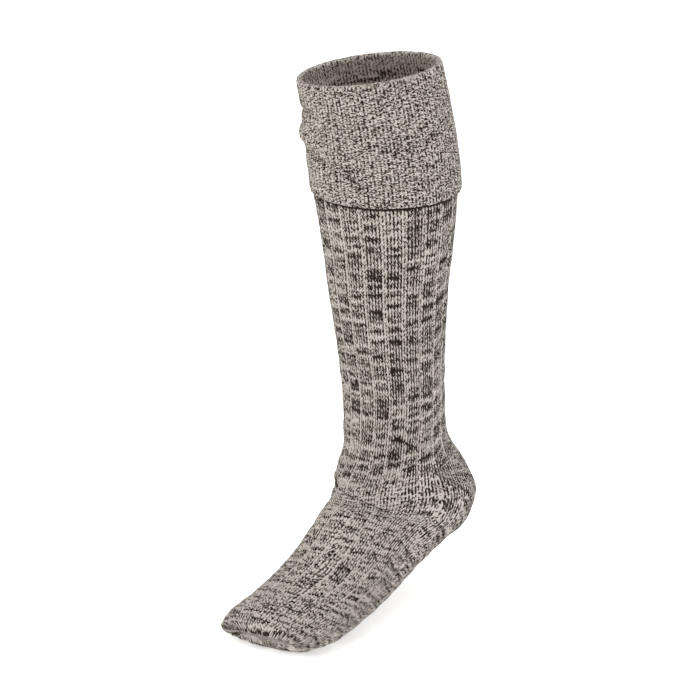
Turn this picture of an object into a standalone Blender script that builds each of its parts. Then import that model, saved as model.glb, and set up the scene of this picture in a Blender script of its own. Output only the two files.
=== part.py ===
# Knee-length ribbed wool sock with a turned-down cuff, shown filled out as it is worn.
# Lengths in metres, +Z up, the toe points to -Y. The origin is the middle of the leg opening.
# The sock is one knitted tube. Its middle line is measured from the opening down the leg
# and along the foot, and each section is a rounded loop between a front and a back point.
import math
from collections import namedtuple

import bmesh
import bpy
from mathutils import Vector

# Leg
LEG_HEIGHT = 0.305      # opening down to the ankle
LEG_DEPTH = 0.118       # widest place, front to back
LEG_WIDTH = 0.115       # widest place, side to side

# Foot
FOOT_LENGTH = 0.250
FOOT_HEIGHT = 0.100     # sole up to the ankle
FOOT_WIDTH = 0.108      # across the ball
FOOT_PITCH = math.radians(11.5)   # how far the toe hangs

# The opening's plane dips towards one side, and the dip dies out over some cuff lengths
OPENING_TILT = math.radians(3.7)
OPENING_LOW_TURN = math.radians(-84)
OPENING_DIP_CUFFS = 2

# Cuff
CUFF_DROP = 0.101       # rim down to the hem
HEM_SLANT = 0.05        # the cuff is turned down further on one side, share of its drop
HEM_LOW_TURN = math.radians(115)
LIP_DROP = 0.012        # how far the rolled rim reaches down inside
CUFF_RIBS = 60
CUFF_RIB_RISE = 0.0006

# Cloth
KNIT = 0.0020           # thickness of one knitted wall
LAYER_GAP = 0.0007      # between the cuff and the leg under it
SEAM_GAP = 0.0003       # between neighbouring pieces
LEG_RIBS = 20
LEG_RIB_RISE = 0.0009
RIB_FADE = 0.012        # length over which ribs start or stop
SOLE_EDGE = math.radians(100)     # ribs run on over the instep as far as this from the front
SOLE_FADE = math.radians(20)
TOE_SHARE = 0.20        # toe cap, share of the foot length
TOE_TIP = 0.010         # solid linked seam at the tip
HEEL_POINT = 0.0015     # the heel stops where it is this short

# Fineness of the meshes: rows of points along each face
CUFF_FACE_ROWS = 9
CUFF_ROLL_ROWS = 5
CUFF_UNDER_ROWS = 7
LEG_ROWS = 13
LEG_INNER_ROWS = 7
FOOT_ROWS = 11
FOOT_INNER_ROWS = 7
TOE_ROWS = 7
TOE_INNER_ROWS = 5
HEEL_ROWS = 7
SHARP_ANGLE = math.radians(50)
NUDGE = 1e-4            # small step for slopes of the cloth's surface

LEG_LEVELS = (
    # down, depth, width, bow: shares of the leg height, depth, width and depth; bow is forward
    (0.00, 0.975, 0.950, 0.000),
    (0.16, 1.000, 0.985, -0.068),
    (0.33, 1.000, 1.000, -0.100),
    (0.46, 0.925, 0.925, -0.093),
    (0.61, 0.830, 0.833, -0.060),
    (0.75, 0.760, 0.758, -0.052),
    (0.90, 0.710, 0.715, -0.044),
)
LEG_SQUARE = 2.0        # 2 is an ellipse, more is boxier

ANKLE_ALONG = 0.215     # where the leg's line meets the foot, share of the foot length
ANKLE_BOW = -0.048      # the same point, ahead of the opening's middle, share of the leg depth

FOOT_SECTIONS = (
    # top_along, top_up, low_along, low_up, width, square: along and up are measured from the
    # heel end of the sole, in shares of the foot length and height; width is a share of its width
    (0.450, 0.912, 0.026, 0.717, 0.713, 2.0),
    (0.505, 0.825, -0.027, 0.407, 0.723, 2.1),
    (0.520, 0.760, -0.040, 0.150, 0.745, 2.2),
    (0.520, 0.710, 0.050, -0.025, 0.783, 2.3),
    (0.526, 0.670, 0.188, -0.022, 0.825, 2.4),
    (0.569, 0.570, 0.323, -0.012, 0.870, 2.4),
    (0.634, 0.430, 0.463, 0.000, 0.937, 2.4),
    (0.713, 0.320, 0.593, 0.008, 0.995, 2.4),
    (0.802, 0.278, 0.726, 0.000, 1.020, 2.3),
    (0.888, 0.275, 0.827, -0.005, 1.020, 2.3),
    (0.955, 0.282, 0.909, 0.005, 0.990, 2.3),
    (0.993, 0.270, 0.968, 0.040, 0.915, 2.2),
    (1.014, 0.235, 1.018, 0.095, 0.800, 2.1),
    (1.022, 0.195, 1.030, 0.150, 0.700, 2.0),
)

# The heel cup is a lens-shaped patch: it is tallest at the back and ends at the ankle's sides
HEEL_TOP_ROW = 0.0      # rows of the foot table where its edges cross the back
HEEL_SOLE_ROW = 3.7
HEEL_SIDE_ROW = 0.6     # where its two points lie
HEEL_REACH = math.radians(92)     # from the back round to each point

# Folds are soft ridges along a straight line on the cloth
FOLDS = (
    # area, from_turn, from_share, to_turn, to_share, rise, spread: turn in degrees from the front
    # towards +X, shares of the area's length, rise in walls (negative is a dent), spread as a
    # share of the leg depth
    ("cuff", -100, 0.47, -25, 0.49, 1.3, 0.060),
    ("cuff", -15, 0.75, 30, 0.95, 0.5, 0.076),
    ("cuff", 30, 0.30, 95, 0.24, 0.4, 0.076),
    ("cuff", 45, 0.66, 100, 0.55, 0.4, 0.093),
    ("cuff", 150, 0.35, 215, 0.45, 0.6, 0.076),
    ("ankle", -70, 0.00, -5, 0.03, 1.1, 0.076),
    ("ankle", -55, 0.22, 40, 0.30, -0.9, 0.051),
    ("ankle", 28, -0.25, 50, -0.19, -0.6, 0.042),
)

RIB_PROFILE = (
    # share of one rib's width, sink as a share of the rise
    (0.00, 1.00),
    (0.17, 0.15),
    (0.50, 0.00),
    (0.83, 0.15),
)

COLOURS = {
    # the piece's mean colour: red, green, blue
    "cuff": (0.29, 0.26, 0.24),
    "leg": (0.24, 0.21, 0.18),
    "heel": (0.26, 0.23, 0.21),
    "foot": (0.31, 0.28, 0.25),
    "toe": (0.30, 0.27, 0.24),
}
WOOL_ROUGHNESS = 0.95

Station = namedtuple("Station", "path front_y front_z back_y back_z width square")


# Sections

def leg_stations():
    rows = []
    for down, depth, width, bow in LEG_LEVELS:
        path = down * LEG_HEIGHT
        middle = -bow * LEG_DEPTH
        reach = depth * LEG_DEPTH / 2
        front = (middle - reach, -path)
        back = (middle + reach, -path)
        rows.append(Station(path, *front, *back, width * LEG_WIDTH, LEG_SQUARE))
    return rows


def foot_point(along, up):
    # from the sole's own frame to the part's frame, turned by the pitch at the ankle
    ahead = (along - ANKLE_ALONG) * FOOT_LENGTH
    above = (up - 1) * FOOT_HEIGHT
    cosine, sine = math.cos(FOOT_PITCH), math.sin(FOOT_PITCH)
    forward = ANKLE_BOW * LEG_DEPTH + ahead * cosine + above * sine
    return -forward, -LEG_HEIGHT - ahead * sine + above * cosine


def all_stations():
    rows = leg_stations()
    for top_along, top_up, low_along, low_up, width, square in FOOT_SECTIONS:
        front = foot_point(top_along, top_up)
        back = foot_point(low_along, low_up)
        last = rows[-1]
        step = math.hypot(
            (front[0] + back[0] - last.front_y - last.back_y) / 2,
            (front[1] + back[1] - last.front_z - last.back_z) / 2,
        )
        rows.append(Station(last.path + step, *front, *back, width * FOOT_WIDTH, square))
    return rows


def slopes(stations, index):
    # rate of change of every column at a station, from the steps to its neighbours
    rates = []
    for other in (index - 1, index + 1):
        if 0 <= other < len(stations):
            step = stations[other].path - stations[index].path
            rates.append((abs(step), [(b - a) / step for a, b in zip(stations[index], stations[other])]))
    if len(rates) == 1:
        return rates[0][1]
    (before, before_rates), (after, after_rates) = rates
    return [(b * after + a * before) / (before + after) for b, a in zip(before_rates, after_rates)]


STATIONS = all_stations()
SLOPES = [slopes(STATIONS, index) for index in range(len(STATIONS))]


def section(path):
    # smooth curve through the stations
    index = 0
    while index < len(STATIONS) - 2 and path > STATIONS[index + 1].path:
        index += 1
    start, end = STATIONS[index], STATIONS[index + 1]
    span = end.path - start.path
    s = (path - start.path) / span
    keep, gain = 2 * s**3 - 3 * s**2 + 1, 3 * s**2 - 2 * s**3
    leave, arrive = (s**3 - 2 * s**2 + s) * span, (s**3 - s**2) * span
    return Station(*(
        a * keep + b * gain + leaving * leave + arriving * arrive
        for a, b, leaving, arriving in zip(start, end, SLOPES[index], SLOPES[index + 1])
    ))


def between(start, end, share):
    return start + (end - start) * share


def path_at_row(row):
    # path at a row of the foot table, which may lie between two rows
    index = len(LEG_LEVELS) + int(row)
    return between(STATIONS[index].path, STATIONS[index + 1].path, row - int(row))


PATH_END = STATIONS[-1].path
TOE_START = PATH_END - TOE_SHARE * FOOT_LENGTH
HEEL_TOP = path_at_row(HEEL_TOP_ROW)
HEEL_SOLE = path_at_row(HEEL_SOLE_ROW)
HEEL_SIDE = path_at_row(HEEL_SIDE_ROW)
FOLD_AREAS = {
    # where each area starts on the middle line, and its length
    "cuff": (0, CUFF_DROP),
    "ankle": (HEEL_TOP, FOOT_HEIGHT),
}


# Cloth surface

def signed_power(value, power):
    return math.copysign(abs(value) ** power, value)


def smooth_skin(path, turn):
    # turn is 0 at the front and grows towards +X
    s = section(path)
    power = 2 / s.square
    ahead = signed_power(math.cos(turn), power)
    x = s.width / 2 * signed_power(math.sin(turn), power)
    y = (s.front_y + s.back_y) / 2 + (s.front_y - s.back_y) / 2 * ahead
    z = (s.front_z + s.back_z) / 2 + (s.front_z - s.back_z) / 2 * ahead
    downhill = x * math.sin(OPENING_LOW_TURN) - y * math.cos(OPENING_LOW_TURN)
    dip = math.tan(OPENING_TILT) * max(1 - path / (OPENING_DIP_CUFFS * CUFF_DROP), 0) ** 2
    return Vector((x, y, z - downhill * dip))


def outward(path, turn):
    nudge = NUDGE / LEG_DEPTH
    along = smooth_skin(path + NUDGE, turn) - smooth_skin(path - NUDGE, turn)
    across = smooth_skin(path, turn + nudge) - smooth_skin(path, turn - nudge)
    return along.cross(across).normalized()


def fold_rise(area, path, turn):
    # how far the folds lift a place outwards
    radius = (LEG_DEPTH + LEG_WIDTH) / 4
    first, length = FOLD_AREAS[area]
    rise = 0
    for name, from_turn, from_share, to_turn, to_share, height, spread in FOLDS:
        if name != area:
            continue
        start_turn, end_turn = math.radians(from_turn), math.radians(to_turn)
        middle_turn = (start_turn + end_turn) / 2
        near_turn = middle_turn + math.remainder(turn - middle_turn, math.tau)
        start = Vector((start_turn * radius, first + from_share * length))
        run = Vector((end_turn * radius, first + to_share * length)) - start
        here = Vector((near_turn * radius, path)) - start
        share = min(max(here.dot(run) / run.length_squared, 0), 1)
        distance = (here - run * share).length / (spread * LEG_DEPTH)
        rise += height * KNIT * math.exp(-distance**2)
    return rise


def skin(area, path, turn, out=0):
    # a point of the cloth, out from the smooth skin of the leg and foot
    return smooth_skin(path, turn) + outward(path, turn) * (fold_rise(area, path, turn) + out)


def fade(distance, length):
    # 0 up to the start, 1 once the length is past
    share = min(max(distance / length, 0), 1)
    return share * share * (3 - 2 * share)


def leg_rib_sink(path, turn, profile):
    # full ribs below the cuff, over the instep alone on the foot, none on the toe
    from_front = abs(math.remainder(turn, math.tau))
    sole = fade(from_front - SOLE_EDGE, SOLE_FADE) * fade(path - HEEL_SIDE, RIB_FADE)
    depth = fade(path - CUFF_DROP, RIB_FADE) * fade(TOE_START - path, RIB_FADE) * (1 - sole)
    return profile * LEG_RIB_RISE * depth


# Meshes

def bridge(mesh, first, second):
    # joins two loops of equal count, or one loop to another with half as many points
    if len(first) < len(second):
        first, second = second, first
    count = len(first)
    for i in range(count):
        j = (i + 1) % count
        if count == len(second):
            mesh.faces.new((first[i], first[j], second[j], second[i]))
        elif i % 2 == 0:
            near, far = second[i // 2], second[(i // 2 + 1) % len(second)]
            mesh.faces.new((first[i], first[j], near))
            mesh.faces.new((first[j], first[(j + 1) % count], far))
            mesh.faces.new((first[j], far, near))


def ladder_cap(mesh, loop):
    # closes a loop round the tube with rungs straight across from side to side
    count = len(loop)
    for i in range(count // 2):
        rung = (loop[i], loop[i + 1], loop[(count - 1 - i) % count], loop[(count - i) % count])
        mesh.faces.new(list(dict.fromkeys(rung)))


def wall_cap(mesh, loop):
    # closes a loop whose first half is the outer face and second half the inner one, reversed
    count = len(loop)
    for i in range(count // 2 - 1):
        mesh.faces.new((loop[i], loop[i + 1], loop[count - 2 - i], loop[count - 1 - i]))


def loft(name, rings, cap=None):
    # without a cap the last ring joins the first, as in the wall of an open tube
    mesh = bmesh.new()
    loops = [[mesh.verts.new(point) for point in ring] for ring in rings]
    for first, second in zip(loops, loops[1:]):
        bridge(mesh, first, second)
    if cap:
        cap(mesh, loops[0])
        cap(mesh, loops[-1])
    else:
        bridge(mesh, loops[-1], loops[0])
    bmesh.ops.recalc_face_normals(mesh, faces=mesh.faces)
    data = bpy.data.meshes.new(name)
    mesh.to_mesh(data)
    mesh.free()
    data.shade_smooth()
    data.set_sharp_from_angle(angle=SHARP_ANGLE)
    return bpy.data.objects.new(name, data)


def rib_columns(ribs, profile):
    # one (turn, sink) for each column of points round the tube
    return [(math.tau * (rib + share) / ribs, sink) for rib in range(ribs) for share, sink in profile]


def spread_rows(start, end, rows):
    return [between(start, end, row / (rows - 1)) for row in range(rows)]


def half_gap(path, turn):
    # the path length that makes half a seam gap on the cloth
    stretch = (smooth_skin(path + NUDGE, turn) - smooth_skin(path - NUDGE, turn)).length / (2 * NUDGE)
    return SEAM_GAP / 2 / stretch


def heel_edges(turn):
    # path of the heel's upper and lower edge at a turn; they meet outside its reach
    from_back = abs(math.remainder(turn - math.pi, math.tau))
    share = min(from_back / HEEL_REACH, 1)
    middle = between((HEEL_TOP + HEEL_SOLE) / 2, HEEL_SIDE, share)
    half = (HEEL_SOLE - HEEL_TOP) / 2 * (1 - share**2)
    return middle - half, middle + half


def tube_wall(start_at, end_at, outer_rows, inner_rows):
    # rings down the ribbed outer face and back up the inner face, which has every second column
    columns = rib_columns(LEG_RIBS, RIB_PROFILE)
    rings = []
    for share in spread_rows(0, 1, outer_rows):
        paths = [between(start_at(turn), end_at(turn), share) for turn, sink in columns]
        rings.append([
            skin("ankle", path, turn, -leg_rib_sink(path, turn, sink))
            for path, (turn, sink) in zip(paths, columns)
        ])
    for share in spread_rows(1, 0, inner_rows):
        rings.append([
            skin("ankle", between(start_at(turn), end_at(turn), share), turn, -KNIT)
            for turn, sink in columns[::2]
        ])
    return rings


# Pieces

def hem(turn):
    return CUFF_DROP * (1 + HEM_SLANT * math.cos(turn - HEM_LOW_TURN))


def make_cuff():
    # outer face up from the hem, over the rolled rim, down the lip inside, and back under it
    roll = KNIT + LAYER_GAP / 2
    middle = LAYER_GAP / 2
    columns = [(math.tau * i / (2 * CUFF_RIBS), i % 2 * CUFF_RIB_RISE) for i in range(2 * CUFF_RIBS)]
    rings = []
    for share in spread_rows(1, 0, CUFF_FACE_ROWS):
        rings.append([
            skin("cuff", between(roll, hem(turn), share), turn, LAYER_GAP + KNIT - sink)
            for turn, sink in columns
        ])
    for angle in spread_rows(0, math.pi, CUFF_ROLL_ROWS)[1:]:
        path = roll - roll * math.sin(angle)
        rings.append([
            skin("cuff", path, turn, middle + (roll - sink) * math.cos(angle))
            for turn, sink in columns
        ])
    for path, out in ((LIP_DROP, -KNIT), (LIP_DROP, 0), (roll, 0)):
        rings.append([skin("cuff", path, turn, out) for turn, sink in columns[::2]])
    for share in spread_rows(0, 1, CUFF_UNDER_ROWS):
        rings.append([
            skin("cuff", between(roll, hem(turn), share), turn, LAYER_GAP)
            for turn, sink in columns[::2]
        ])
    return loft("cuff", rings)


def make_leg():
    def lower_edge(turn):
        edge = heel_edges(turn)[0]
        return edge - half_gap(edge, turn)

    top = LIP_DROP + SEAM_GAP
    return loft("leg", tube_wall(lambda turn: top, lower_edge, LEG_ROWS, LEG_INNER_ROWS))


def make_foot():
    def upper_edge(turn):
        edge = heel_edges(turn)[1]
        return edge + half_gap(edge, turn)

    def toe_edge(turn):
        return TOE_START - half_gap(TOE_START, turn)

    return loft("foot", tube_wall(upper_edge, toe_edge, FOOT_ROWS, FOOT_INNER_ROWS))


def make_heel():
    # one loop round the wall for each column, from point to point round the back
    rings = []
    for turn, sink in rib_columns(LEG_RIBS, RIB_PROFILE):
        upper, lower = heel_edges(turn)
        upper += half_gap(upper, turn)
        lower -= half_gap(lower, turn)
        if lower - upper < HEEL_POINT:
            continue
        outer = [skin("ankle", path, turn) for path in spread_rows(upper, lower, HEEL_ROWS)]
        inner = [skin("ankle", path, turn, -KNIT) for path in spread_rows(lower, upper, HEEL_ROWS)]
        rings.append(outer + inner)
    return loft("heel", rings, wall_cap)


def make_toe():
    # from the closed end inside, out round the open edge, to the linked seam at the tip
    turns = [turn for turn, sink in rib_columns(LEG_RIBS, RIB_PROFILE)][::2]
    starts = [(turn, TOE_START + half_gap(TOE_START, turn)) for turn in turns]
    rings = []
    for share in spread_rows(1, 0, TOE_INNER_ROWS):
        end = PATH_END - TOE_TIP
        rings.append([skin("ankle", between(start, end, share), turn, -KNIT) for turn, start in starts])
    for share in spread_rows(0, 1, TOE_ROWS):
        # rows crowd towards the tip, where the skin bends most
        crowded = 1 - (1 - share) ** 2
        rings.append([skin("ankle", between(start, PATH_END, crowded), turn) for turn, start in starts])
    return loft("toe", rings, ladder_cap)


def wool(name):
    material = bpy.data.materials.new(name + "_wool")
    material.use_nodes = True
    shader = material.node_tree.nodes["Principled BSDF"]
    shader.inputs["Base Color"].default_value = (*COLOURS[name], 1)
    shader.inputs["Roughness"].default_value = WOOL_ROUGHNESS
    shader.inputs["Metallic"].default_value = 0
    return material


def main():
    for old in list(bpy.data.objects):
        bpy.data.objects.remove(old)
    collection = bpy.data.collections.new("ribbed_sock")
    bpy.context.scene.collection.children.link(collection)
    for part in (make_cuff(), make_leg(), make_heel(), make_foot(), make_toe()):
        part.data.materials.append(wool(part.name))
        collection.objects.link(part)


main()
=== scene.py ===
import math

import bmesh
import bpy
import numpy as np
from mathutils import Matrix, Vector


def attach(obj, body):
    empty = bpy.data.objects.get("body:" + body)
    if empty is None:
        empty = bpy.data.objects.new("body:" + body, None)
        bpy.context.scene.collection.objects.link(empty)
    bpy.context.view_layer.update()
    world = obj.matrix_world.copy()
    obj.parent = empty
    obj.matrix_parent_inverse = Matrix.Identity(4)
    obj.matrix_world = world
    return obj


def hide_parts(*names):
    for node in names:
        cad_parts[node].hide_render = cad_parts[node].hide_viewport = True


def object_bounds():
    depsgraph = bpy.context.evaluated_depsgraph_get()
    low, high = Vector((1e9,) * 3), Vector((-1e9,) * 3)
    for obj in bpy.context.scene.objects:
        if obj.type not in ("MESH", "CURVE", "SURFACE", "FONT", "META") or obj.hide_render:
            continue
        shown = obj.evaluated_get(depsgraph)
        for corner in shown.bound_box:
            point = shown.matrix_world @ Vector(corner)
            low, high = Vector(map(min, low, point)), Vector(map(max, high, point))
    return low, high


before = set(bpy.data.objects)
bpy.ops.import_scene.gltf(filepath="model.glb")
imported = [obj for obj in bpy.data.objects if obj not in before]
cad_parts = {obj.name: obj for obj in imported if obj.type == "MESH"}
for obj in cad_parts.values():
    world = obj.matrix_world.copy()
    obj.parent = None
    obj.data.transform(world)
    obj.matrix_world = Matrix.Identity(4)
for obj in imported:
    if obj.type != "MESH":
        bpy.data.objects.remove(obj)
cadLow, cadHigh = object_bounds()
print("frame loaded", [round(side * 1000) for side in cadHigh - cadLow])

# Lengths are in metres at the size the frame was drawn, and grow with the frame.
drawnHeight = 0.4407
grow = (cadHigh.z - cadLow.z) / drawnHeight

sock = {
    "legHeight": 0.305 * grow,
    "legDepth": 0.118 * grow,
    "legWidth": 0.115 * grow,
    "footLength": 0.250 * grow,
    "footHeight": 0.100 * grow,
    "footWidth": 0.108 * grow,
    "footPitch": math.radians(11.5),
    "ankleAlong": 0.215,
    "ankleBow": -0.048,
    "openingTilt": math.radians(3.7),
    "openingLowTurn": math.radians(-84),
    "openingDipCuffs": 2,         # the tilt dies out this many cuffs down
    "cuffDrop": 0.101 * grow,
    "lipDrop": 0.012 * grow,
    "hemSlant": 0.05,
    "hemLowTurn": math.radians(115),
    "toeShare": 0.20,
    "knit": 0.0020 * grow,
    "layerGap": 0.0007 * grow,
    "heelSideRow": 0.6,
    "heelSoleRow": 3.7,
    "heelReach": math.radians(92),
    "soleEdge": math.radians(100),
    "soleFade": math.radians(20),
    "soleStartFade": 0.012 * grow,
    "ribStartCuffs": 0.9,         # the wide ribs start this many cuffs down
    "ribStartFade": 0.006 * grow,
    "ribEndFade": 0.020 * grow,   # and end this far before the toe
}

legLevels = (
    # down, depth, width, bow forward
    (0.00, 0.975, 0.950, 0.000),
    (0.16, 1.000, 0.985, -0.068),
    (0.33, 1.000, 1.000, -0.100),
    (0.46, 0.925, 0.925, -0.093),
    (0.61, 0.830, 0.833, -0.060),
    (0.75, 0.760, 0.758, -0.052),
    (0.90, 0.710, 0.715, -0.044),
)

footSections = (
    # top along and up, low along and up, width, squareness
    (0.450, 0.912, 0.026, 0.717, 0.713, 2.0),
    (0.505, 0.825, -0.027, 0.407, 0.723, 2.1),
    (0.520, 0.760, -0.040, 0.150, 0.745, 2.2),
    (0.520, 0.710, 0.050, -0.025, 0.783, 2.3),
    (0.526, 0.670, 0.188, -0.022, 0.825, 2.4),
    (0.569, 0.570, 0.323, -0.012, 0.870, 2.4),
    (0.634, 0.430, 0.463, 0.000, 0.937, 2.4),
    (0.713, 0.320, 0.593, 0.008, 0.995, 2.4),
    (0.802, 0.278, 0.726, 0.000, 1.020, 2.3),
    (0.888, 0.275, 0.827, -0.005, 1.020, 2.3),
    (0.955, 0.282, 0.909, 0.005, 0.990, 2.3),
    (0.993, 0.270, 0.968, 0.040, 0.915, 2.2),
    (1.014, 0.235, 1.018, 0.095, 0.800, 2.1),
    (1.022, 0.195, 1.030, 0.150, 0.700, 2.0),
)

folds = (
    # area, from turn and share, to turn and share, rise, spread, darkening by painted shade
    # turns are degrees from the front, shares are of the area's length,
    # a rise counts in thicknesses of the knit and a spread in leg depths
    # darkening paints shade into a crease, and a negative one paints a highlight on a raised
    # fold
    ("cuff", -100, 0.47, -25, 0.49, 1.3, 0.060, 0.0),
    ("cuff", -15, 0.75, 30, 0.95, 0.5, 0.076, 0.0),
    ("cuff", 30, 0.30, 95, 0.24, 0.4, 0.076, 0.0),
    ("cuff", 45, 0.66, 100, 0.55, 0.4, 0.093, 0.0),
    ("cuff", 150, 0.35, 215, 0.45, 0.6, 0.076, 0.0),
    ("ankle", -70, 0.00, -5, 0.03, 1.1, 0.076, 0.0),
    ("ankle", -55, 0.22, 40, 0.30, -0.9, 0.051, 0.0),
    ("ankle", 28, -0.25, 50, -0.19, -0.6, 0.042, 0.0),
    # fine creases that only this model has
    ("cuff", -80, 0.27, -22, 0.26, -1.0, 0.034, 0.14),
    ("cuff", -60, 0.46, -34, 0.46, 0.8, 0.040, 0.0),
    ("cuff", -34, 0.46, 12, 0.62, 0.7, 0.030, -0.08),
    ("cuff", -36, 0.57, 12, 0.71, -0.6, 0.026, 0.18),
    ("cuff", 12, 0.71, 24, 0.90, -0.4, 0.026, 0.14),
    ("cuff", 42, 0.52, 66, 0.57, -0.45, 0.026, 0.14),
    ("cuff", 66, 0.57, 92, 0.49, -0.45, 0.026, 0.14),
    ("ankle", 44, -0.27, 63, -0.19, -0.5, 0.014, 0.50),
    ("ankle", -70, 0.10, -30, 0.12, 0.7, 0.024, 0.0),
    ("ankle", -30, 0.14, 19, 0.35, -0.6, 0.014, 0.42),
    ("ankle", 19, 0.35, 42, 0.52, -0.4, 0.014, 0.34),
    ("toe", -180, 0.90, 180, 0.90, 0.20, 0.016, -0.05),
    ("toe", -180, 0.97, 180, 0.97, -0.10, 0.010, 0.16),
)

# Stitches: wales run along the sock, courses run round it
stitch = {
    "columnsPerWale": 4,
    "rise": 0.00042 * grow,
    "zigzag": 0.25,               # of a course
    "zigzagFade": 0.002 * grow,
    "strandLow": 0.45,            # how high a strand stays between two courses
    "waleGap": 0.8,
    "purlNarrow": 0.5,
    "purlSink": 0.3,
    "wobble": 0.00030 * grow,
    "wobbleWaves": 14,
    "wobbleMost": 30,             # waves round the sock, fewer than this
    "wobbleSlant": 0.14,          # waves a course, at most
    "ribDepth": 0.0009 * grow,
    "valleyFade": 0.7,            # wales
    "footTwist": -0.6,
    "insideLight": -0.14,
    "sharpAngle": math.radians(85),
}


# Shape of the cloth

def stationTable():
    # path along the middle line, front y z, back y z, width, squareness
    rows = []
    for down, depth, width, bow in legLevels:
        path = down * sock["legHeight"]
        middle = -bow * sock["legDepth"]
        reach = depth * sock["legDepth"] / 2
        wide = width * sock["legWidth"]
        rows.append([path, middle - reach, -path, middle + reach, -path, wide, 2.0])
    for topAlong, topUp, lowAlong, lowUp, width, square in footSections:
        front = footPoint(topAlong, topUp)
        back = footPoint(lowAlong, lowUp)
        last = rows[-1]
        stepY = (front[0] + back[0] - last[1] - last[3]) / 2
        stepZ = (front[1] + back[1] - last[2] - last[4]) / 2
        path = last[0] + math.hypot(stepY, stepZ)
        rows.append([path, *front, *back, width * sock["footWidth"], square])
    return np.array(rows)


def footPoint(along, up):
    ahead = (along - sock["ankleAlong"]) * sock["footLength"]
    above = (up - 1) * sock["footHeight"]
    cosine, sine = math.cos(sock["footPitch"]), math.sin(sock["footPitch"])
    forward = sock["ankleBow"] * sock["legDepth"] + ahead * cosine + above * sine
    return -forward, -sock["legHeight"] - ahead * sine + above * cosine


def stationSlopes(table):
    path = table[:, :1]
    rates = np.diff(table, axis=0) / np.diff(path, axis=0)
    before, after = np.diff(path, axis=0)[:-1], np.diff(path, axis=0)[1:]
    inner = (rates[:-1] * after + rates[1:] * before) / (before + after)
    return np.vstack([rates[:1], inner, rates[-1:]])


stations = stationTable()
slopes = stationSlopes(stations)


def section(path):
    # a smooth curve through the stations, with their slopes
    index = np.clip(np.searchsorted(stations[:, 0], path) - 1, 0, len(stations) - 2)
    start, end = stations[index], stations[index + 1]
    span = (end[:, 0] - start[:, 0])[:, None]
    s = (path[:, None] - start[:, :1]) / span
    keep, gain = 2 * s**3 - 3 * s**2 + 1, 3 * s**2 - 2 * s**3
    leave, arrive = (s**3 - 2 * s**2 + s) * span, (s**3 - s**2) * span
    return start * keep + end * gain + slopes[index] * leave + slopes[index + 1] * arrive


def pathAtRow(row):
    index = len(legLevels) + int(row)
    here, there = stations[index, 0], stations[index + 1, 0]
    return here + (there - here) * (row - int(row))


pathEnd = stations[-1, 0]
toeStart = pathEnd - sock["toeShare"] * sock["footLength"]
heelTop = pathAtRow(0)
heelSide = pathAtRow(sock["heelSideRow"])
heelSole = pathAtRow(sock["heelSoleRow"])
foldAreas = {
    # where each area starts along the sock, and how long it is
    "cuff": (0, sock["cuffDrop"]),
    "ankle": (heelTop, sock["footHeight"]),
    "toe": (toeStart, pathEnd - toeStart),
}


def smoothSkin(path, turn):
    # turn is 0 at the front and grows towards +X
    _, frontY, frontZ, backY, backZ, width, square = section(path).T
    power = 2 / square
    ahead = np.sign(np.cos(turn)) * np.abs(np.cos(turn)) ** power
    x = width / 2 * np.sign(np.sin(turn)) * np.abs(np.sin(turn)) ** power
    y = (frontY + backY) / 2 + (frontY - backY) / 2 * ahead
    z = (frontZ + backZ) / 2 + (frontZ - backZ) / 2 * ahead
    downhill = x * math.sin(sock["openingLowTurn"]) - y * math.cos(sock["openingLowTurn"])
    reach = sock["openingDipCuffs"] * sock["cuffDrop"]
    dip = math.tan(sock["openingTilt"]) * np.clip(1 - path / reach, 0, None) ** 2
    return np.stack([x, y, z - downhill * dip], axis=1)


def outward(path, turn):
    pathNudge, turnNudge = 0.0004 * grow, 0.01
    along = smoothSkin(path + pathNudge, turn) - smoothSkin(path - pathNudge, turn)
    across = smoothSkin(path, turn + turnNudge) - smoothSkin(path, turn - turnNudge)
    normal = np.cross(along, across)
    return normal / np.linalg.norm(normal, axis=1)[:, None]


def wrapTurn(turn, centre=0):
    return (turn - centre + math.pi) % math.tau - math.pi


def foldsAt(area, path, turn):
    # how far the folds lift the cloth here, and how much painted shade darkens it (a painted
    # highlight where negative)
    radius = (sock["legDepth"] + sock["legWidth"]) / 4
    first, length = foldAreas[area]
    rise, darker = np.zeros_like(path), np.zeros_like(path)
    for name, fromTurn, fromShare, toTurn, toShare, height, spread, paintedShade in folds:
        if name != area:
            continue
        start = np.array([math.radians(fromTurn) * radius, first + fromShare * length])
        line = np.array([math.radians(toTurn) * radius, first + toShare * length]) - start
        middle = math.radians(fromTurn + toTurn) / 2
        here = np.stack([(middle + wrapTurn(turn, middle)) * radius, path], axis=1) - start
        share = np.clip(here @ line / (line @ line), 0, 1)
        away = np.linalg.norm(here - share[:, None] * line, axis=1)
        strength = np.exp(-(away / (spread * sock["legDepth"])) ** 2)
        rise += height * sock["knit"] * strength
        darker += paintedShade * strength
    return rise, darker


def fade(distance, length):
    # 0 to 1 over the length, gently at both ends
    share = np.clip(distance / length, 0, 1)
    return share * share * (3 - 2 * share)


def level(path):
    # an edge that lies at the same path all round
    return lambda turn: path * np.ones_like(turn)


def heelEdges(turn):
    fromBack = np.abs(wrapTurn(turn, math.pi))
    share = np.minimum(fromBack / sock["heelReach"], 1)
    backMiddle = (heelTop + heelSole) / 2
    middle = backMiddle + (heelSide - backMiddle) * share
    half = (heelSole - heelTop) / 2 * (1 - share**2)
    return middle - half, middle + half


def hem(turn):
    return sock["cuffDrop"] * (1 + sock["hemSlant"] * np.cos(turn - sock["hemLowTurn"]))


def soleShare(path, turn):
    fromFront = np.abs(wrapTurn(turn))
    under = fade(fromFront - sock["soleEdge"], sock["soleFade"])
    return under * fade(path - heelSide, sock["soleStartFade"])


def footTwist(path):
    # worn, the foot's wales run straight along it instead of following the instep
    return stitch["footTwist"] * fade(path - heelSide, toeStart - heelSide)


# Stitch relief, in shares of the stitch's rise

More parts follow.
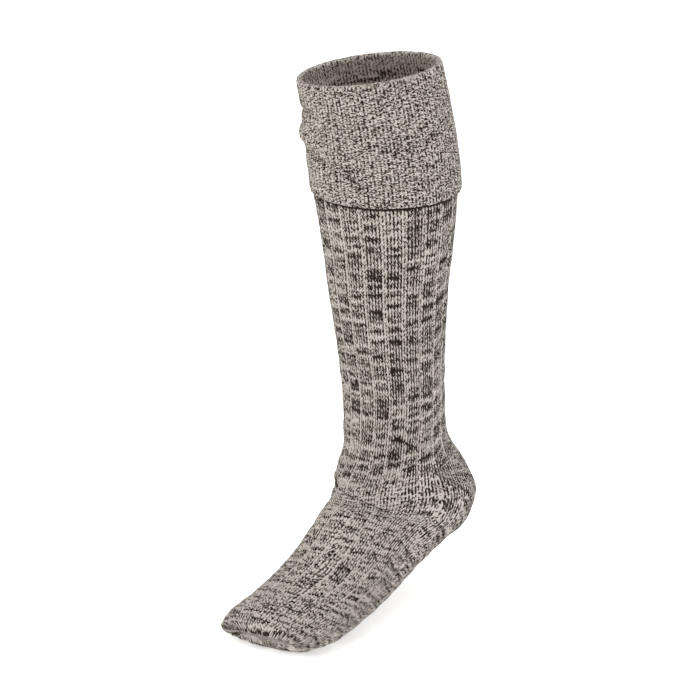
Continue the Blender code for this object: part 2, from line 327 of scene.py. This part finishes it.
def knitRelief(wale, course):
    strands = (1 - np.cos(4 * math.pi * wale)) / 2
    between = (1 + np.cos(math.tau * wale)) / 2
    row = (1 + np.cos(math.tau * course)) / 2
    height = stitch["strandLow"] + (1 - stitch["strandLow"]) * row
    return strands * height - stitch["waleGap"] * between


def purlRelief(wale, course):
    between = (1 + np.cos(math.tau * wale)) / 2
    row = (1 + np.cos(math.tau * course)) / 2
    return row * (1 - stitch["purlNarrow"] * between) - stitch["purlSink"]


def wobble(turn, course, seed):
    # slow unevenness of hand-looking knit, the same every run
    random = np.random.default_rng(seed)
    total = np.zeros_like(turn)
    for number in range(stitch["wobbleWaves"]):
        waves = random.integers(1, stitch["wobbleMost"])
        down = random.uniform(-stitch["wobbleSlant"], stitch["wobbleSlant"])
        start = random.uniform(0, math.tau)
        total += np.sin(waves * turn + math.tau * down * course + start)
    return total / 4


def purlShare(wale, ribWales, sunkWales):
    # 1 on the sunk wales and 0 on the ribs; the valleys' middles are ribWales apart
    place = wale % ribWales
    fromValley = np.minimum(place, ribWales - place)
    soft = stitch["valleyFade"]
    return 1 - fade(fromValley - sunkWales / 2 + soft / 2, soft)


def wideRibs(knit):
    # some wales between two ribs are sunk; plain under the sole and towards the toe
    def ribs(wale, path, turn):
        start = sock["ribStartCuffs"] * sock["cuffDrop"]
        ribbed = fade(path - start, sock["ribStartFade"]) * (1 - soleShare(path, turn))
        ribbed = ribbed * (1 - fade(path - toeStart + sock["ribEndFade"], sock["ribEndFade"]))
        purl = purlShare(wale, knit["ribWales"], knit["sunkWales"]) * ribbed
        return purl, purl * stitch["ribDepth"]
    return ribs


# Grids of stitches

def run(count, shareFrom, shareTo, out, courses=0.0, relief=0.0, inside=0.0, extra=(0.0, 0.0)):
    # rows of points along a wall; share runs between the piece's two edges
    place = np.arange(count) / max(count - 1, 1)
    return {
        "share": shareFrom + (shareTo - shareFrom) * place,
        "out": out * np.ones(count),
        "course": courses * place,
        "relief": relief * np.ones(count),
        "inside": inside * np.ones(count),
        "extra": extra[0] + (extra[1] - extra[0]) * place,
    }


def joinRuns(runs):
    # courses are counted on from one run to the next
    keys = [key for key in runs[0] if key != "course"]
    joined = {key: np.concatenate([part[key] for part in runs]) for key in keys}
    course, total = [], 0.0
    for part in runs:
        course.append(part["course"] + total)
        total = course[-1][-1]
    joined["course"] = np.concatenate(course)
    return joined


def closeRows(rows):
    # one more row, which lies on the first
    closed = {key: np.append(values, values[0]) for key, values in rows.items()}
    closed["course"][-1] = closed["course"][-2] + 1
    return closed


def knitGrid(name, columns, rows, place):
    # a flat grid of stitches, laid onto the sock by place, then welded shut
    weldDistance, sliverLength = 1e-6, 1e-7
    mesh = bmesh.new()
    mesh.loops.layers.uv.new("knit")
    bmesh.ops.create_grid(mesh, x_segments=columns, y_segments=rows, size=0.5, calc_uvs=True)
    data = bpy.data.meshes.new(name)
    mesh.to_mesh(data)
    mesh.free()
    flat = np.zeros(len(data.vertices) * 3)
    data.vertices.foreach_get("co", flat)
    flat = flat.reshape(-1, 3) + 0.5
    column = np.rint(flat[:, 0] * columns).astype(int)
    row = np.rint(flat[:, 1] * rows).astype(int)
    points, marks, wales, courses = place(column, row)
    data.vertices.foreach_set("co", points.ravel())
    for key, values in marks.items():
        mark = data.attributes.new(key, "FLOAT", "POINT")
        mark.data.foreach_set("value", values.astype(np.float32))
    uv = data.uv_layers["knit"].data
    spots = np.zeros(len(uv) * 2)
    uv.foreach_get("uv", spots)
    spots = spots.reshape(-1, 2)
    spots[:, 0] = np.interp(spots[:, 0] * columns, np.arange(columns + 1), wales)
    spots[:, 1] = np.interp(spots[:, 1] * rows, np.arange(rows + 1), courses)
    uv.foreach_set("uv", spots.ravel())
    welded = bmesh.new()
    welded.from_mesh(data)
    bmesh.ops.remove_doubles(welded, verts=welded.verts, dist=weldDistance)
    bmesh.ops.dissolve_degenerate(welded, edges=welded.edges, dist=sliverLength)
    bmesh.ops.recalc_face_normals(welded, faces=welded.faces)
    welded.to_mesh(data)
    welded.free()
    data.shade_smooth()
    data.set_sharp_from_angle(angle=stitch["sharpAngle"])
    piece = bpy.data.objects.new(name, data)
    bpy.context.scene.collection.objects.link(piece)
    return piece


def closeEnds(piece):
    # fills the loops that are still open: the toe's two ends, or the heel's two points
    mesh = bmesh.new()
    mesh.from_mesh(piece.data)
    rims = [edge for edge in mesh.edges if edge.is_boundary]
    bmesh.ops.holes_fill(mesh, edges=rims, sides=0)
    bmesh.ops.recalc_face_normals(mesh, faces=mesh.faces)
    mesh.to_mesh(piece.data)
    mesh.free()


def tubePiece(name, knit, area, rows, startAt, endAt, ribs, closed=True, shade=None):
    # a wall right round the sock, its rows listed down one face and back up the other
    perWale = stitch["columnsPerWale"]
    columns = knit["wales"] * perWale
    edgePasses = 5
    if closed:
        rows = closeRows(rows)
    knitted = rows["course"].copy()
    if closed:
        knitted[-1] = knitted[0]  # the same stitches where the last row lies on the first
    waleLine = np.arange(columns + 1) / perWale

    def place(column, row):
        wale = column / perWale
        turn = math.tau * wale / knit["wales"]
        start, end = startAt(turn), endAt(turn)
        for again in range(edgePasses):
            # a twisted wale meets a slanting edge elsewhere
            start, end = startAt(turn + footTwist(start)), endAt(turn + footTwist(end))
        share, relief, inside = rows["share"][row], rows["relief"][row], rows["inside"][row]
        path = start + (end - start) * share + rows["extra"][row]
        turn = turn + footTwist(path)
        course = knitted[row]
        purl, sink = ribs(wale, path, turn)
        zigzag = np.cos(math.tau * wale) * stitch["zigzag"] * (1 - purl)
        coursePath = (end - start) / max(rows["course"].max(), 1)
        onFace = relief * fade(np.minimum(path - start, end - path), stitch["zigzagFade"])
        path = path + zigzag * coursePath * onFace
        bump = knitRelief(wale, course) * (1 - purl) + purlRelief(wale, course) * purl
        slow = wobble(turn, course, knit["seed"])
        lift = relief * (bump * stitch["rise"] + slow * stitch["wobble"] - sink)
        # the folds give painted shade in their creases and a painted highlight on raised folds;
        # shade adds the piece's own mark, such as the painted shadow under the cuff
        rise, darker = foldsAt(area, path, turn)
        if shade:
            darker = darker + shade(path, turn)
        out = rows["out"][row] + rise + lift
        points = smoothSkin(path, turn) + outward(path, turn) * out[:, None]
        marks = {
            "inside": inside,
            "purl": purl * relief,
            "sole": soleShare(path, turn),
            "darker": np.where(inside > 0, stitch["insideLight"], darker),
        }
        return points, marks, waleLine, rows["course"]

    return knitGrid(name, columns, len(rows["share"]) - 1, place)


# Wool: two yarns, light and dark, twisted together and knitted

wool = {
    "light": (0.50, 0.46, 0.42),
    "mid": (0.165, 0.137, 0.112),
    "dark": (0.012, 0.008, 0.0055),
    "stops": (0.22, 0.50, 0.77),  # darkness at which each of the three is reached
    "insideTint": (1.0, 0.94, 0.93),
    "purlLight": -0.25,           # the light yarn comes forward on sunk wales
    "soleBlocks": 1.4,            # how much bolder the blocks are under the sole
    "grain": 1.0,
    "fuzz": 0.25,
    "fuzzDepth": 0.0006 * grow,
    "roughness": 0.95,
    "specular": 0.15,
    "sheen": 0.02,
    "sheenRoughness": 0.6,
    # how fast each noise changes, across the wales and along them
    "blockRates": (17.3, 0.52),
    "bandRates": (0.16, 0.8),
    "fleckRates": (7.31, 1.6),
    "grainRates": (3.1, 2.6),
    "fuzzRates": (5.0, 4.0),
}


def link(tree, source, target):
    tree.links.new(source, target)


def mathNode(tree, operation, *values):
    node = tree.nodes.new("ShaderNodeMath")
    node.operation = operation
    for slot, value in enumerate(values):
        if isinstance(value, (int, float)):
            node.inputs[slot].default_value = value
        else:
            link(tree, value, node.inputs[slot])
    return node.outputs[0]


def addNodes(tree, first, *others):
    total = first
    for other in others:
        total = mathNode(tree, "ADD", total, other)
    return total


def attributeNode(tree, name):
    node = tree.nodes.new("ShaderNodeAttribute")
    node.attribute_name = name
    return node.outputs["Fac"]


def noiseNode(tree, across, along, rates, detail=0.0, roughness=0.5):
    spot = tree.nodes.new("ShaderNodeCombineXYZ")
    link(tree, mathNode(tree, "MULTIPLY", across, rates[0]), spot.inputs["X"])
    link(tree, mathNode(tree, "MULTIPLY", along, rates[1]), spot.inputs["Y"])
    node = tree.nodes.new("ShaderNodeTexNoise")
    node.inputs["Scale"].default_value = 1
    node.inputs["Detail"].default_value = detail
    node.inputs["Roughness"].default_value = roughness
    link(tree, spot.outputs[0], node.inputs["Vector"])
    return node.outputs["Fac"]


def swingNode(tree, strength, *noise):
    # a noise that swings to both sides of nought
    swing = mathNode(tree, "SUBTRACT", noiseNode(tree, *noise), 0.5)
    return mathNode(tree, "MULTIPLY", swing, strength)


def raggWool(name, knit):
    material = bpy.data.materials.new(name)
    material.use_nodes = True
    tree = material.node_tree
    shader = tree.nodes["Principled BSDF"]
    uv = tree.nodes.new("ShaderNodeUVMap")
    uv.uv_map = "knit"
    split = tree.nodes.new("ShaderNodeSeparateXYZ")
    link(tree, uv.outputs["UV"], split.inputs[0])
    wale, course = split.outputs[0], split.outputs[1]
    inside = attributeNode(tree, "inside")
    purl = attributeNode(tree, "purl")
    sole = attributeNode(tree, "sole")
    # darker carries painted shade from the creases and from under the cuff's edge, with the
    # other marks
    darker = attributeNode(tree, "darker")

    # dark blocks: one slow noise along each rib, level right across the rib
    rib = mathNode(tree, "FLOOR", mathNode(tree, "DIVIDE", wale, float(knit["ribWales"])))
    block = swingNode(tree, knit["blocks"], rib, course, wool["blockRates"], 1.0)
    # on the sunk wales the dark yarn hardly shows
    block = mathNode(tree, "MULTIPLY", block, mathNode(tree, "SUBTRACT", 1.0, purl))
    # and under the sole the blocks are bolder
    bolder = addNodes(tree, mathNode(tree, "MULTIPLY", sole, wool["soleBlocks"]), 1.0)
    block = mathNode(tree, "MULTIPLY", block, bolder)

    # bands: the yarn's own changes, running round the sock
    band = swingNode(tree, knit["band"], wale, course, wool["bandRates"], 1.0)

    # flecks: each strand of each wale has its own strokes, slanting down from the gap
    strand = mathNode(tree, "FLOOR", mathNode(tree, "MULTIPLY", wale, 2.0))
    slant = mathNode(tree, "PINGPONG", wale, 0.5)
    along = mathNode(tree, "ADD", course, slant)
    fleckRates = (wool["fleckRates"][0], wool["fleckRates"][1] / knit["long"])
    fleck = swingNode(tree, knit["speck"], strand, along, fleckRates, 1.0, 0.6)

    # painted shade: the gap between wales is darker than the strands, and one leaning strand of
    # a stitch darker than the other
    angle = mathNode(tree, "MULTIPLY", wale, math.tau)
    gap = mathNode(tree, "MULTIPLY", mathNode(tree, "COSINE", angle), knit["gap"])
    leanShade = mathNode(tree, "MULTIPLY", mathNode(tree, "SINE", angle), knit["leanShade"])

    # grain: the two plies showing in turn within a stitch
    grain = swingNode(tree, wool["grain"], wale, along, wool["grainRates"])

    sunk = mathNode(tree, "MULTIPLY", purl, wool["purlLight"])
    dark = addNodes(tree, block, band, fleck, gap, leanShade, darker, sunk, grain, knit["shade"])

    ramp = tree.nodes.new("ShaderNodeValToRGB")
    stops = ramp.color_ramp.elements
    stops[0].position = wool["stops"][0]
    stops[0].color = (*wool["light"], 1)
    stops[1].position = wool["stops"][2]
    stops[1].color = (*wool["dark"], 1)
    middle = stops.new(wool["stops"][1])
    middle.color = (*wool["mid"], 1)
    link(tree, dark, ramp.inputs["Fac"])

    # the hollow inside is a little browner and darker
    tint = tree.nodes.new("ShaderNodeMix")
    tint.data_type = "RGBA"
    tint.blend_type = "MULTIPLY"
    link(tree, inside, tint.inputs["Factor"])
    link(tree, ramp.outputs["Color"], tint.inputs["A"])
    tint.inputs["B"].default_value = (*wool["insideTint"], 1)
    link(tree, tint.outputs["Result"], shader.inputs["Base Color"])

    # plies and fuzz
    bump = tree.nodes.new("ShaderNodeBump")
    bump.inputs["Strength"].default_value = wool["fuzz"]
    bump.inputs["Distance"].default_value = wool["fuzzDepth"]
    fuzz = noiseNode(tree, wale, course, wool["fuzzRates"], 3.0, 0.7)
    link(tree, fuzz, bump.inputs["Height"])
    link(tree, bump.outputs["Normal"], shader.inputs["Normal"])

    shader.inputs["Roughness"].default_value = wool["roughness"]
    shader.inputs["Metallic"].default_value = 0
    shader.inputs["Specular IOR Level"].default_value = wool["specular"]
    shader.inputs["Sheen Weight"].default_value = wool["sheen"]
    shader.inputs["Sheen Roughness"].default_value = wool["sheenRoughness"]
    return material


def dress(piece, node, knit):
    piece.data.materials.append(raggWool(node + "Wool", knit))
    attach(piece, "root")
    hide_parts(node)
    print(piece.name, len(piece.data.polygons), "faces")


# The pieces. Rows are those of the mesh, and courses are rows of stitches.

cuffKnit = {
    "wales": 120,                 # right round
    "ribWales": 2,                # from one rib to the next
    "sunkWales": 1,
    "ribDepth": 0.0005 * grow,
    "purl": 0.45,                 # how much of a purl stitch the sunk wales are
    "rows": 85,
    "courses": 42,
    "rollRows": 6,
    "rollCourses": 2.5,
    "rollRelief": 0.8,
    "lipRows": 11,
    "lipCourses": 5,
    "lipRelief": 0.7,
    "backRows": 8,
    "rimLight": -0.15,
    "rimWidth": 0.0020 * grow,
    "seed": 3,
    "blocks": 0.2,                # strength of the dark blocks
    "band": 0.2,                  # changes of yarn round the sock
    "speck": 3.8,                 # strength of the flecks
    "long": 0.85,                 # a fleck's length
    "gap": 0.10,                  # painted shade between the wales
    "leanShade": 0.14,                 # painted shade on one strand of a stitch
    "shade": 0.54,                # overall darkness
}


def cuffRibs(wale, path, turn):
    sunk = purlShare(wale, cuffKnit["ribWales"], cuffKnit["sunkWales"])
    return cuffKnit["purl"] * sunk, sunk * cuffKnit["ribDepth"]


def rimLight(path, turn):
    return cuffKnit["rimLight"] * np.exp(-(path / cuffKnit["rimWidth"]) ** 2)


def makeCuff():
    layer = sock["layerGap"] + sock["knit"]
    roll = sock["knit"] + sock["layerGap"] / 2
    middle = sock["layerGap"] / 2
    angles = np.linspace(0, math.pi, cuffKnit["rollRows"] + 2)[1:-1]
    rolled = run(cuffKnit["rollRows"], 0, 0, middle + roll * np.cos(angles),
                 courses=cuffKnit["rollCourses"], relief=cuffKnit["rollRelief"])
    rolled["extra"] = -roll * np.sin(angles)
    lip = sock["lipDrop"] - roll
    rows = joinRuns([
        run(cuffKnit["rows"], 1, 0, layer, courses=cuffKnit["courses"], relief=1),
        rolled,
        run(cuffKnit["lipRows"], 0, 0, -sock["knit"], courses=cuffKnit["lipCourses"],
            relief=cuffKnit["lipRelief"], inside=1, extra=(0, lip)),
        run(1, 0, 0, 0, extra=(lip, 0)),
        run(cuffKnit["backRows"], 0, 1, sock["layerGap"]),
    ])
    return tubePiece("knitCuff", cuffKnit, "cuff", rows, level(roll), hem, cuffRibs,
                     shade=rimLight)


legKnit = {
    "wales": 120,
    "ribWales": 6,
    "sunkWales": 1.2,
    "plainRows": 5,
    "plainTo": 0.24,              # share of the leg, hidden by the cuff
    "knitFrom": 0.255,
    "rows": 177,
    "courses": 88,
    "insideRows": 22,
    "insideCourses": 120,
    "hemShadowDark": 1.6,               # painted shadow: the dark line on the leg under the cuff's edge
    "hemShadowWidth": 0.0013 * grow,
    "seed": 5,
    "blocks": 2.1,
    "band": 0.4,
    "speck": 3.2,
    "long": 1.0,
    "gap": 0.14,
    "leanShade": 0.28,
    "shade": 0.58,
}


# painted shadow on the leg, just under the cuff's edge
def hemShadow(path, turn):
    past = (path - hem(turn)) / legKnit["hemShadowWidth"]
    return legKnit["hemShadowDark"] * np.exp(-(past - 1) ** 2)


def makeLeg():
    rows = joinRuns([
        run(legKnit["plainRows"], 0, legKnit["plainTo"], 0),
        run(legKnit["rows"], legKnit["knitFrom"], 1, 0, courses=legKnit["courses"], relief=1),
        run(legKnit["insideRows"], 1, 0, -sock["knit"], courses=legKnit["insideCourses"],
            inside=1),
    ])
    return tubePiece("knitLeg", legKnit, "ankle", rows, level(sock["lipDrop"]),
                     lambda turn: heelEdges(turn)[0], wideRibs(legKnit), shade=hemShadow)


heelKnit = {
    "wales": 120,
    "ribWales": 6,
    "rows": 57,
    "courses": 28,
    "insideRows": 10,
    "pointFade": 0.010 * grow,    # the relief dies out towards the two points
    "edgeFade": 0.05,
    "lineDark": 0.35,             # where the heel was joined to the leg and foot
    "lineWidth": 0.0013 * grow,
    "seed": 11,
    "blocks": 1.0,
    "band": 1.2,
    "speck": 3.4,
    "long": 1.2,
    "gap": 0.12,
    "leanShade": 0.24,
    "shade": 0.53,
}


def makeHeel():
    # only the wales of the back, between two edges that meet at each side
    perWale = stitch["columnsPerWale"]
    wales, courses = heelKnit["wales"], heelKnit["courses"]
    firstWale = math.ceil((math.pi - sock["heelReach"]) / math.tau * wales)
    lastWale = wales - firstWale
    columns = (lastWale - firstWale) * perWale
    rows = closeRows(joinRuns([
        run(heelKnit["rows"], 0, 1, 0, courses=courses, relief=1),
        run(heelKnit["insideRows"], 1, 0, -sock["knit"], courses=courses, inside=1),
    ]))
    knitted = rows["course"].copy()
    knitted[-1] = knitted[0]
    waleLine = firstWale + np.arange(columns + 1) / perWale

    def place(column, row):
        wale = firstWale + column / perWale
        turn = math.tau * wale / wales
        upper, lower = heelEdges(turn)
        share, inside = rows["share"][row], rows["inside"][row]
        relief = rows["relief"][row] * fade(lower - upper, heelKnit["pointFade"])
        course = knitted[row]
        path = upper + (lower - upper) * share
        zigzag = np.cos(math.tau * wale) * stitch["zigzag"] * (lower - upper) / courses
        path = path + zigzag * relief * fade(np.minimum(share, 1 - share), heelKnit["edgeFade"])
        slow = wobble(turn, course, heelKnit["seed"])
        lift = relief * (knitRelief(wale, course) * stitch["rise"] + slow * stitch["wobble"])
        # the folds give painted shade in their creases and a painted highlight on raised folds
        rise, darker = foldsAt("ankle", path, turn)
        out = rows["out"][row] + rise + lift
        points = smoothSkin(path, turn) + outward(path, turn) * out[:, None]
        edge = np.minimum(path - upper, lower - path) / heelKnit["lineWidth"]
        marks = {
            "inside": inside,
            "purl": 0 * inside,
            "darker": darker + heelKnit["lineDark"] * np.exp(-edge**2),
        }
        return points, marks, waleLine, rows["course"]

    piece = knitGrid("knitHeel", columns, len(rows["share"]) - 1, place)
    closeEnds(piece)
    return piece


footKnit = {
    "wales": 120,
    "ribWales": 6,
    "sunkWales": 0.9,
    "rows": 157,
    "courses": 78,
    "insideRows": 14,
    "seed": 8,
    "blocks": 1.8,
    "band": 1.0,
    "speck": 3.6,
    "long": 1.7,
    "gap": 0.16,
    "leanShade": 0.26,
    "shade": 0.46,
}


def makeFoot():
    courses = footKnit["courses"]
    rows = joinRuns([
        run(footKnit["rows"], 0, 1, 0, courses=courses, relief=1),
        run(footKnit["insideRows"], 1, 0, -sock["knit"], courses=courses, inside=1),
    ])
    return tubePiece("knitFoot", footKnit, "ankle", rows, lambda turn: heelEdges(turn)[1],
                     level(toeStart), wideRibs(footKnit))


toeKnit = {
    "wales": 100,
    "ribWales": 5,
    "sunkWales": 1,
    "rows": 43,
    "courses": 21,
    "insideRows": 8,
    "insideCourses": 20,
    "insideReach": 0.8,           # share of the toe that is hollow
    "seed": 9,
    "blocks": 1.6,
    "band": 1.0,
    "speck": 3.6,
    "long": 1.7,
    "gap": 0.16,
    "leanShade": 0.26,
    "shade": 0.42,
}


def makeToe():
    rows = joinRuns([
        run(toeKnit["insideRows"], toeKnit["insideReach"], 0, -sock["knit"],
            courses=toeKnit["insideCourses"], inside=1),
        run(toeKnit["rows"], 0, 1, 0, courses=toeKnit["courses"], relief=1),
    ])
    piece = tubePiece("knitToe", toeKnit, "toe", rows, level(toeStart), level(pathEnd),
                      wideRibs(toeKnit), closed=False)
    closeEnds(piece)
    return piece


dress(makeCuff(), "cuff", cuffKnit)
dress(makeLeg(), "leg", legKnit)
dress(makeHeel(), "heel", heelKnit)
dress(makeFoot(), "foot", footKnit)
dress(makeToe(), "toe", toeKnit)


# Studio: pale floor, even soft light, and the photograph's camera

studio = {
    "floorSize": 12,
    "floorDrop": 0.001,
    "floorColour": (0.93, 0.93, 0.93),
    "floorRoughness": 0.9,
    "floorGlow": 0.45,
    "sky": 1.15,
    "key": {"power": 8, "colour": (1.0, 0.90, 0.74), "size": 2.0, "place": (-1.6, -1.9, 1.0)},
    "fill": {"power": 5, "colour": (0.90, 0.94, 1.0), "size": 2.0, "place": (2.4, -0.8, 0.8)},
    "lampAim": (0, 0, -0.2),
    "azimuth": 40.5,
    "elevation": 15.1,
    "roll": 3.7,
    "distance": 4.0,
    "pixel": 0.0008,              # metres a pixel, at the distance
    "imageSize": 700,
    "sensorWidth": 36,
    "farthest": 50,
    "markPoint": (0, 0, -0.055),  # this point of the sock
    "markPixel": (373.1, 135.2),  # shows at this pixel
}


def makeFloor():
    mesh = bmesh.new()
    bmesh.ops.create_grid(mesh, x_segments=1, y_segments=1, size=studio["floorSize"] / 2)
    height = cadLow.z - studio["floorDrop"]
    bmesh.ops.translate(mesh, verts=mesh.verts, vec=(0, 0, height))
    data = bpy.data.meshes.new("floor")
    mesh.to_mesh(data)
    mesh.free()
    floor = bpy.data.objects.new("floor", data)
    bpy.context.scene.collection.objects.link(floor)
    material = bpy.data.materials.new("paleFloor")
    material.use_nodes = True
    shader = material.node_tree.nodes["Principled BSDF"]
    shader.inputs["Base Color"].default_value = (*studio["floorColour"], 1)
    shader.inputs["Roughness"].default_value = studio["floorRoughness"]
    shader.inputs["Emission Color"].default_value = (1, 1, 1, 1)
    shader.inputs["Emission Strength"].default_value = studio["floorGlow"]
    data.materials.append(material)


def makeLamp(name):
    lamp = studio[name]
    light = bpy.data.lights.new(name, "AREA")
    light.energy = lamp["power"]
    light.color = lamp["colour"]
    light.size = lamp["size"]
    lampObject = bpy.data.objects.new(name, light)
    lampObject.location = lamp["place"]
    aim = Vector(studio["lampAim"]) - Vector(lamp["place"])
    lampObject.rotation_euler = aim.to_track_quat("-Z", "Y").to_euler()
    bpy.context.scene.collection.objects.link(lampObject)


def makeCamera():
    # stands at the photograph's angle, turned until the mark falls on its pixel
    turn, lift, roll = (math.radians(studio[key]) for key in ("azimuth", "elevation", "roll"))
    out = math.cos(lift)
    level = Vector((math.cos(turn), math.sin(turn), 0))
    back = Vector((math.sin(turn) * out, -math.cos(turn) * out, math.sin(lift)))
    upright = back.cross(level)
    right = level * math.cos(roll) - upright * math.sin(roll)
    up = level * math.sin(roll) + upright * math.cos(roll)
    mark = Vector(studio["markPoint"])
    place = mark + back * studio["distance"]
    middle = studio["imageSize"] / 2
    offX = (middle - studio["markPixel"][0]) * studio["pixel"]
    offY = (studio["markPixel"][1] - middle) * studio["pixel"]
    aim = mark + right * offX + up * offY
    back = (place - aim).normalized()
    right = up.cross(back).normalized()
    up = back.cross(right)
    lens = bpy.data.cameras.new("camera")
    lens.sensor_width = studio["sensorWidth"]
    frameWidth = studio["pixel"] * studio["imageSize"]
    lens.lens = studio["sensorWidth"] * studio["distance"] / frameWidth
    lens.clip_end = studio["farthest"]
    camera = bpy.data.objects.new("camera", lens)
    turned = Matrix((right, up, back)).transposed().to_4x4()
    camera.matrix_world = Matrix.Translation(place) @ turned
    bpy.context.scene.collection.objects.link(camera)
    bpy.context.scene.camera = camera


def makeSky():
    world = bpy.data.worlds.new("studio")
    world.use_nodes = True
    background = world.node_tree.nodes["Background"]
    background.inputs["Color"].default_value = (1, 1, 1, 1)
    background.inputs["Strength"].default_value = studio["sky"]
    bpy.context.scene.world = world


makeFloor()
makeSky()
makeLamp("key")
makeLamp("fill")
makeCamera()
bpy.context.scene.view_settings.view_transform = "Standard"
print("studio ready")
